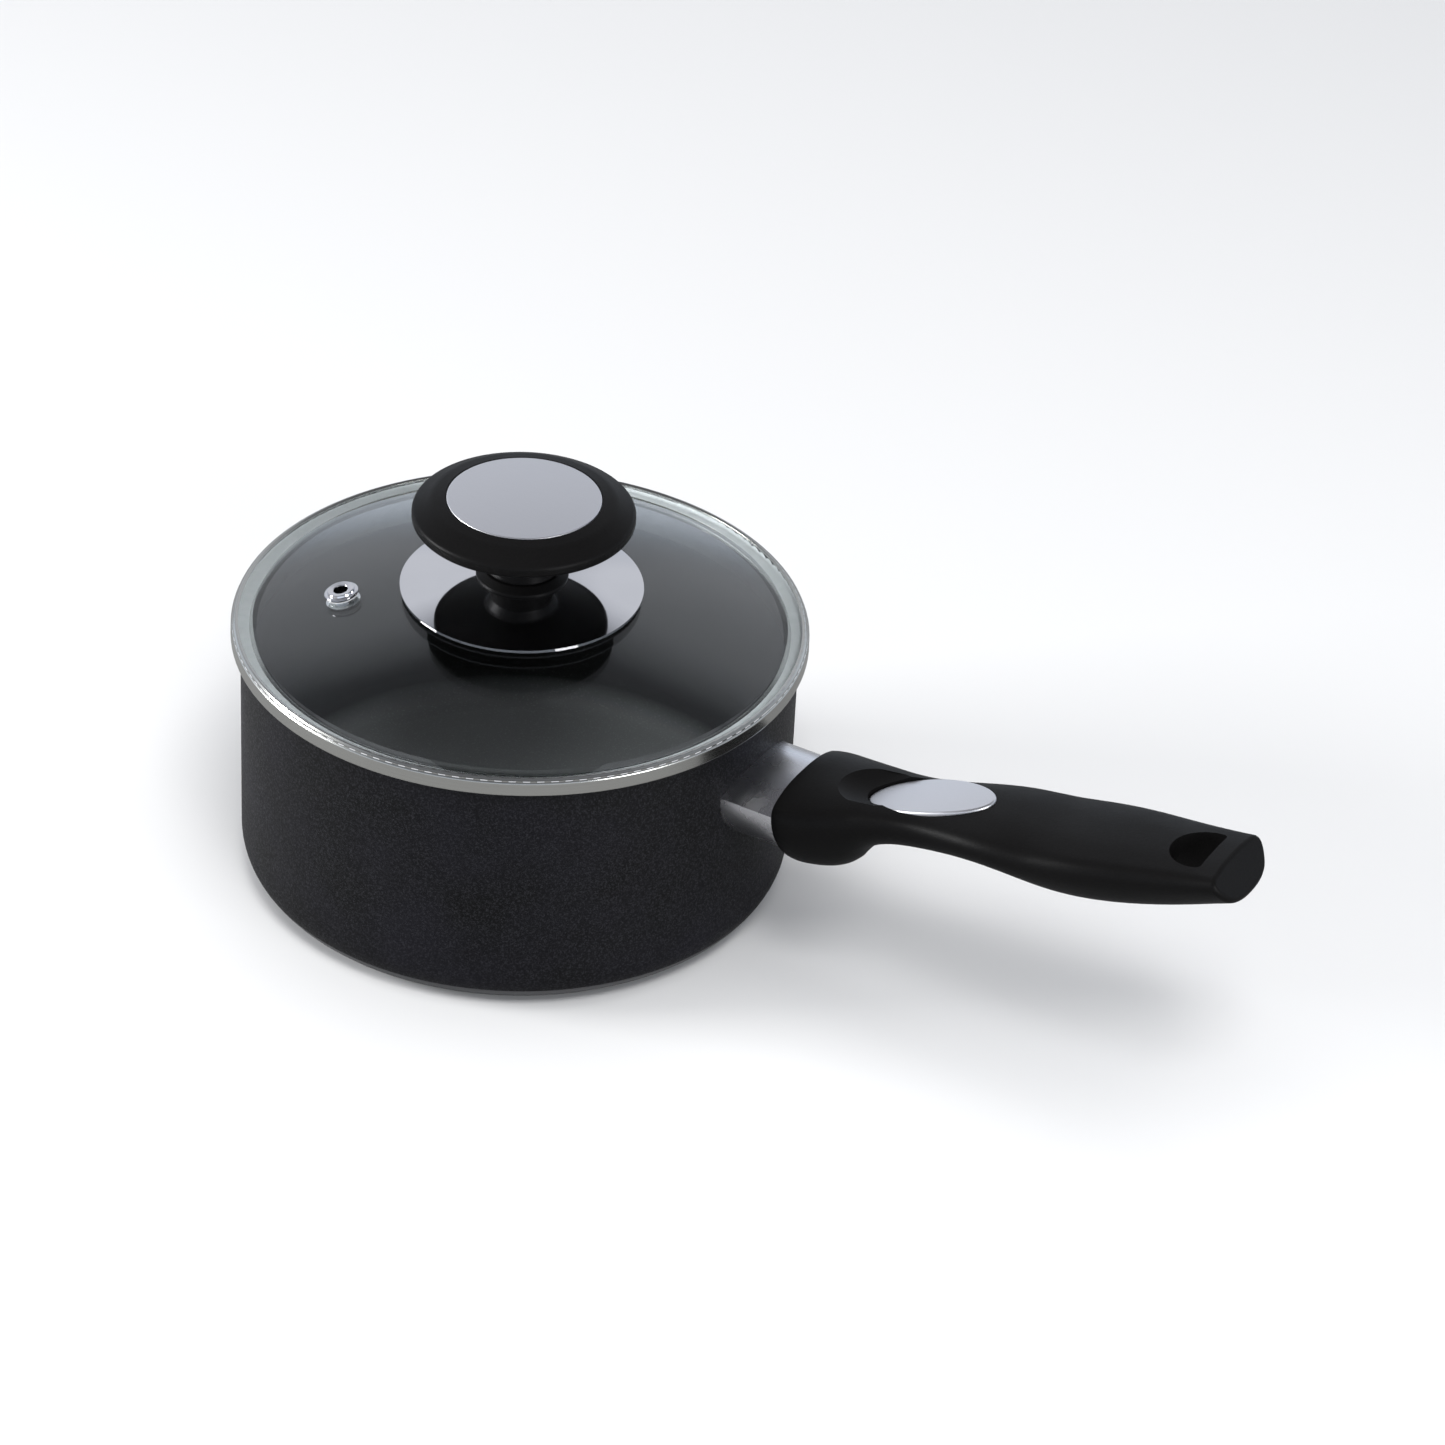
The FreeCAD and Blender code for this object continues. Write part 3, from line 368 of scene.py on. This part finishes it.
def polished_steel():
    """Mirror-polished steel with the faintest buffing marks."""
    material, tree, shader = new_material("polished_steel")
    smudge = noise(tree, place(tree), 14 * MM, 3.0)
    tone = blend(tree, smudge, grey(0.72, 1.03), grey(0.78, 1.03))
    finish(tree, shader, tone, spread(tree, smudge, 0.35, 0.75, 0.035, 0.075), 1.0)
    return material


def bare_aluminium():
    """Drawn aluminium: fine lines along the sleeve and a few scuffs."""
    material, tree, shader = new_material("bare_aluminium")
    drawn = noise(tree, stretched(tree, 9 * MM, 0.25 * MM), detail=3.0)
    scuff = noise(tree, place(tree), 9 * MM)
    tone = blend(tree, drawn, grey(0.72, 1.04), grey(0.84, 1.04))
    finish(tree, shader, tone, patchy(tree, scuff, 0.24, 0.3), 1.0)
    bump(tree, shader, drawn, 0.01 * MM, 0.3)
    return material


def screw_steel():
    """Plain zinc-plated steel."""
    material, tree, shader = new_material("screw_steel")
    cloud = noise(tree, place(tree), 1.5 * MM, 3.0)
    tone = blend(tree, cloud, grey(0.42, 1.03), grey(0.58, 1.02))
    finish(tree, shader, tone, patchy(tree, cloud, 0.28, 0.4), 1.0)
    return material


def brass_insert():
    """Plain brass with a knurl."""
    material, tree, shader = new_material("brass_insert")
    knurl = calc(tree, "SINE", times(tree, turn(tree), KNURLS))
    cloud = noise(tree, place(tree), 2 * MM, 3.0)
    finish(tree, shader, blend(tree, cloud, BRASS_DARK, BRASS_LIGHT), BRASS_ROUGH, 1.0)
    bump(tree, shader, knurl, 0.15 * MM, 0.6)
    return material


def silicone():
    """Milky silicone."""
    material, tree, shader = new_material("silicone")
    cloud = noise(tree, place(tree), 4 * MM, 3.0)
    tone = blend(tree, cloud, grey(0.6, 1.02), grey(0.72, 1.02))
    finish(tree, shader, tone, patchy(tree, cloud, 0.42, 0.55))
    bump(tree, shader, noise(tree, place(tree), 0.6 * MM), 0.04 * MM, 0.4)
    return material


def clear_glass():
    """Clear tempered glass. Lamps shine through it, so that the inside of the pan is lit."""
    material, tree, shader = new_material("clear_glass")
    finish(tree, shader, GLASS_TINT, 0.0)
    shader.inputs["IOR"].default_value = GLASS_IOR
    shader.inputs["Specular IOR Level"].default_value = GLASS_GLOSS
    shader.inputs["Transmission Weight"].default_value = 1.0
    clear = tree.nodes.new("ShaderNodeBsdfTransparent")
    clear.inputs["Color"].default_value = GLASS_SHADOW
    path = tree.nodes.new("ShaderNodeLightPath")
    chooser = tree.nodes.new("ShaderNodeMixShader")
    tree.links.new(path.outputs["Is Shadow Ray"], chooser.inputs["Fac"])
    tree.links.new(shader.outputs[0], chooser.inputs[1])
    tree.links.new(clear.outputs[0], chooser.inputs[2])
    tree.links.new(chooser.outputs[0], tree.nodes["Material Output"].inputs["Surface"])
    return material


def dress_nodes():
    """Gives every CAD node the material of its slot, and smooth shading."""
    slots = {
        "pan_coating": coated_pan(),
        "bare_aluminium": bare_aluminium(),
        "black_plastic": black_plastic(),
        "screw_steel": screw_steel(),
        "satin_metal": satin_metal(),
        "clear_glass": clear_glass(),
        "ring_steel": ring_steel(),
        "silicone": silicone(),
        "polished_steel": polished_steel(),
        "brass_insert": brass_insert(),
    }
    for part in frame["record"]["subparts"]:
        mesh = NODES[part["node"]].data
        for polygon in mesh.polygons:
            polygon.use_smooth = True
        mesh.materials.clear()
        mesh.materials.append(slots[part["material_slot"]])


# ---------------------------------------------------------------- stage
def add_object(name, data):
    thing = bpy.data.objects.new(name, data)
    bpy.context.scene.collection.objects.link(thing)
    return thing


def floor():
    """Pale floor that shows darker in the pan than it looks: painted shade on its reflections and bounced
    light.
    """
    corners = [(-1, -1), (1, -1), (1, 1), (-1, 1)]
    mesh = bpy.data.meshes.new("floor")
    mesh.from_pydata([(x * FLOOR_HALF, y * FLOOR_HALF, 0) for x, y in corners], [], [(0, 1, 2, 3)])
    material, tree, shader = new_material("floor")
    path = tree.nodes.new("ShaderNodeLightPath")
    # painted shade: rays other than the camera's see the floor darker than it is
    tone = blend(tree, path.outputs["Is Camera Ray"], grey(FLOOR_PAINTED_SHADE), grey(FLOOR_SEEN))
    finish(tree, shader, tone, FLOOR_ROUGH)
    shader.inputs["Specular IOR Level"].default_value = 0.0
    mesh.materials.append(material)
    add_object("floor", mesh)


def from_camera_side(vector):
    """Turns a vector given as right, away, up from the camera's side to the frame's axes."""
    return Matrix.Rotation(HANDLE_TURN, 4, "Z") @ vector


def area_lamp(name, position, size, power, mirrored):
    """Rectangular lamp aimed at the pan; mirrored says whether surfaces show its reflection."""
    lamp = bpy.data.lights.new(name, "AREA")
    lamp.shape = "RECTANGLE"
    lamp.size, lamp.size_y = size
    lamp.energy = power
    thing = add_object(name, lamp)
    thing.visible_glossy = mirrored
    thing.visible_transmission = False
    thing.location = position
    thing.rotation_mode = "QUATERNION"
    thing.rotation_quaternion = (LAMP_TARGET - position).to_track_quat("-Z", "Y")


def lights():
    """One soft key from above the camera, a lamp at each side and a wide fill overhead."""
    key = from_camera_side(KEY_FROM.normalized() * KEY_DISTANCE) + LAMP_TARGET
    area_lamp("key", key, (KEY_SIZE, KEY_SIZE), KEY_POWER, False)
    sides = (("left", LEFT_AZIMUTH, LEFT_POWER), ("right", RIGHT_AZIMUTH, RIGHT_POWER))
    for name, azimuth, power in sides:
        across, toward = math.sin(azimuth) * SIDE_DISTANCE, math.cos(azimuth) * SIDE_DISTANCE
        place_at = from_camera_side(Vector((across, -toward, SIDE_HEIGHT)))
        area_lamp(name, place_at, SIDE_SIZE, power, True)
    area_lamp("fill", Vector((0, 0, FILL_HEIGHT)), (FILL_SIZE, FILL_SIZE), FILL_POWER, False)


def softbox_share(tree, direction, side):
    """1 toward the softbox on one side, falling to 0 over its soft edge."""
    azimuth = side * SOFTBOX_AZIMUTH
    level = math.cos(SOFTBOX_RISE)
    middle = Vector((math.sin(azimuth) * level, math.cos(azimuth) * level, math.sin(SOFTBOX_RISE)))
    node = tree.nodes.new("ShaderNodeVectorMath")
    node.operation = "DOT_PRODUCT"
    tree.links.new(direction, node.inputs[0])
    node.inputs[1].default_value = from_camera_side(middle)
    return spread(tree, node.outputs["Value"], *SOFTBOX_EDGE)


def sky():
    """Bright low all round and at two softboxes behind the pan, darker between them and overhead."""
    world = bpy.data.worlds.new("studio")
    bpy.context.scene.world = world
    world.use_nodes = True
    tree = world.node_tree
    direction = tree.nodes.new("ShaderNodeTexCoord").outputs["Generated"]
    rise = split(tree, direction)[2]
    tone = blend(tree, spread(tree, rise, *SKY_LOW), HORIZON, SKY_MIDDLE)
    tone = blend(tree, spread(tree, rise, *SKY_HIGH), tone, SKY_TOP)
    for side in (-1, 1):
        tone = blend(tree, softbox_share(tree, direction, side), tone, SOFTBOX)
    background = tree.nodes["Background"]
    tree.links.new(tone, background.inputs["Color"])
    background.inputs["Strength"].default_value = SKY_STRENGTH


def camera():
    """The camera stands in front of the pan, above it, with the handle toward its right."""
    pitch_cos, pitch_sin = math.cos(CAMERA_PITCH), math.sin(CAMERA_PITCH)
    roll_cos, roll_sin = math.cos(CAMERA_ROLL), math.sin(CAMERA_ROLL)
    level_right = Vector((1, 0, 0))
    level_up = Vector((0, pitch_sin, pitch_cos))
    forward = from_camera_side(Vector((0, pitch_cos, -pitch_sin)))
    right = from_camera_side(level_right * roll_cos + level_up * roll_sin)
    up = from_camera_side(level_up * roll_cos - level_right * roll_sin)
    position = CAMERA_TARGET - forward * CAMERA_DISTANCE + right * CAMERA_ASIDE[0] + up * CAMERA_ASIDE[1]
    lens = bpy.data.cameras.new("camera")
    lens.sensor_width = SENSOR
    lens.lens = LENS
    thing = add_object("camera", lens)
    axes = Matrix((right, up, -forward)).transposed().to_4x4()
    thing.matrix_world = Matrix.Translation(position) @ axes
    bpy.context.scene.camera = thing


dress_nodes()
floor()
lights()
sky()
camera()
bpy.context.scene.view_settings.view_transform = "Standard"
